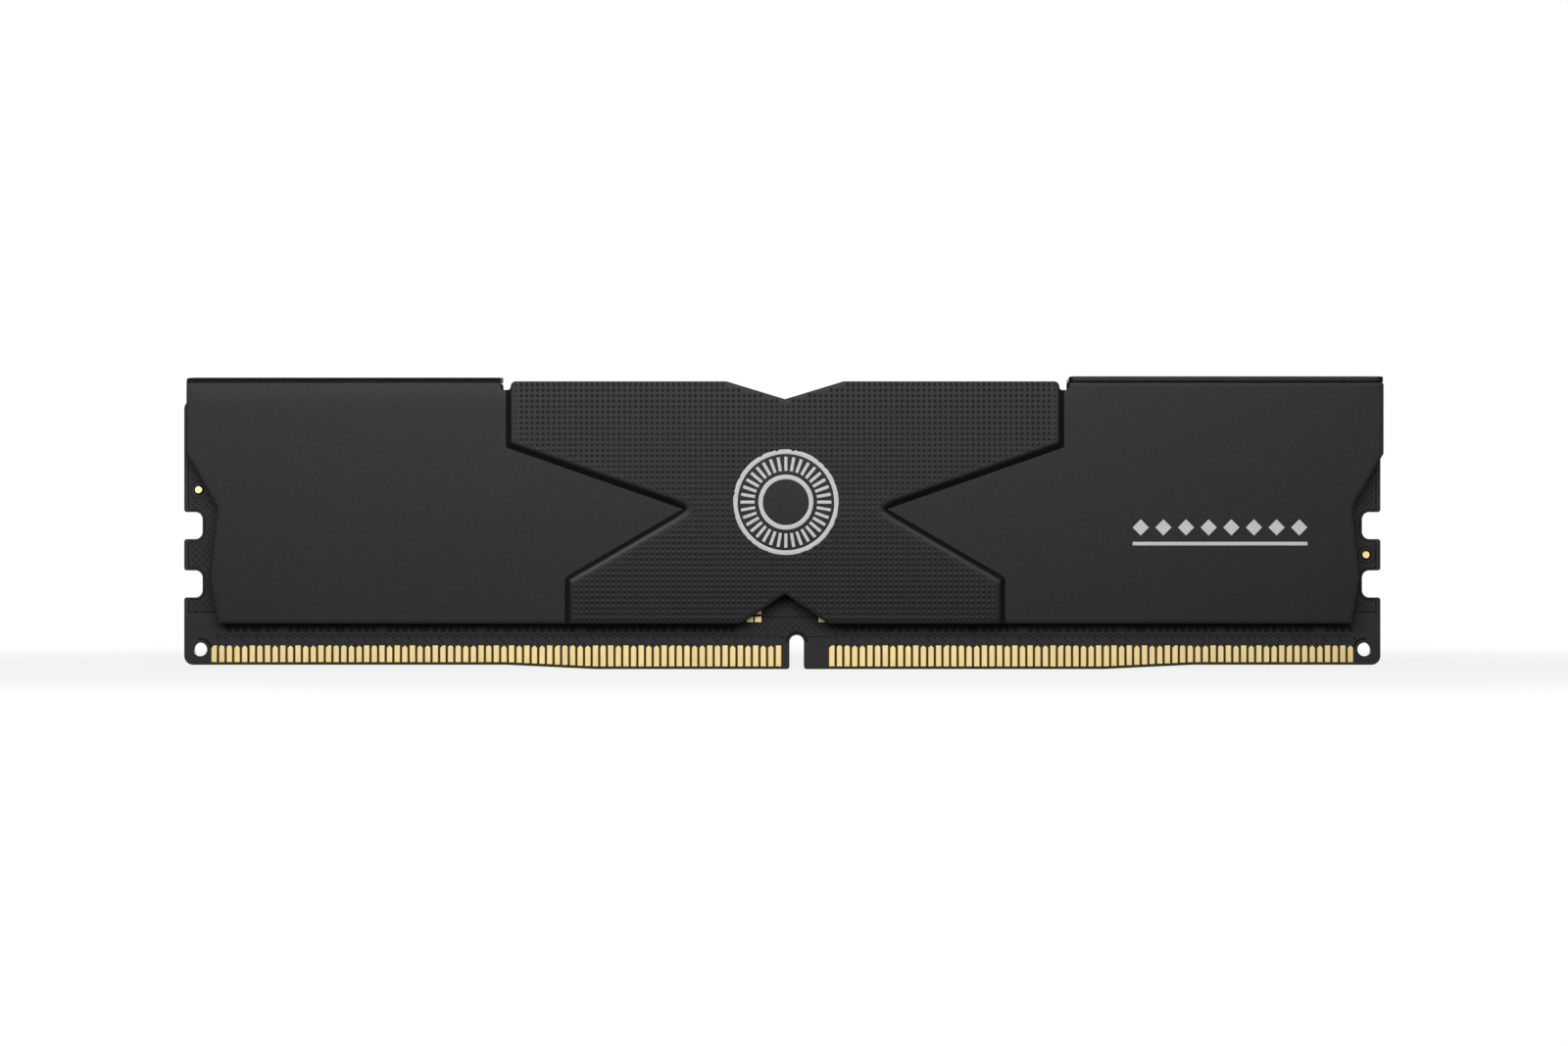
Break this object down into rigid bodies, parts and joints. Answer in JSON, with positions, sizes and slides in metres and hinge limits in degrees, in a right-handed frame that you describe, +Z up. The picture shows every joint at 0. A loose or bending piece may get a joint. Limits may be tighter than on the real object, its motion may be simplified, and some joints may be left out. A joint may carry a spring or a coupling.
{
  "type": "memory module",
  "caption": "Desktop memory module: a slim circuit board with gold edge contacts, key and latch notches, between two stamped black heat-spreader halves, each with a raised dotted centre field.",
  "frame": {"origin": "middle of the contact edge, halfway through the board's thickness, at the lowest point", "axes": "+X along the module, -Y out of the front spreader, +Z up, away from the contact edge"},
  "size_m": [0.1335, 0.0072, 0.0326],
  "materials": {
    "board_mask": "black solder mask over hatched copper",
    "gold_plating": "gold plated copper",
    "chip_resin": "moulded black resin",
    "ferrite": "pressed metal powder",
    "capacitor_ceramic": "fired ceramic with tinned ends",
    "resistor_film": "glazed film with tinned ends",
    "thermal_silicone": "filled silicone gap pad",
    "spreader_coat": "black coated, fine matte texture"
  },
  "bodies": {
    "root": {"circuit_board": "board_mask", "fiducials": "gold_plating", "test_lands": "gold_plating", "front_contacts_left": "gold_plating", "front_contacts_right": "gold_plating", "rear_contacts_left": "gold_plating", "rear_contacts_right": "gold_plating", "dram_front_1": "chip_resin", "dram_front_2": "chip_resin", "dram_front_3": "chip_resin", "dram_front_4": "chip_resin", "dram_front_5": "chip_resin", "dram_front_6": "chip_resin", "dram_front_7": "chip_resin", "dram_front_8": "chip_resin", "dram_rear_1": "chip_resin", "dram_rear_2": "chip_resin", "dram_rear_3": "chip_resin", "dram_rear_4": "chip_resin", "dram_rear_5": "chip_resin", "dram_rear_6": "chip_resin", "dram_rear_7": "chip_resin", "dram_rear_8": "chip_resin", "pmic": "chip_resin", "spd_hub": "chip_resin", "inductor_1": "ferrite", "inductor_2": "ferrite", "inductor_3": "ferrite", "bulk_capacitors": "capacitor_ceramic", "decoupling_capacitors_front": "capacitor_ceramic", "decoupling_capacitors_rear": "capacitor_ceramic", "resistors_front": "resistor_film", "resistors_rear": "resistor_film", "thermal_pad_front_left": "thermal_silicone", "thermal_pad_front_right": "thermal_silicone", "thermal_pad_rear_left": "thermal_silicone", "thermal_pad_rear_right": "thermal_silicone", "thermal_pad_pmic": "thermal_silicone", "front_heat_spreader": "spreader_coat", "rear_heat_spreader": "spreader_coat"}
  },
  "joints": []
}
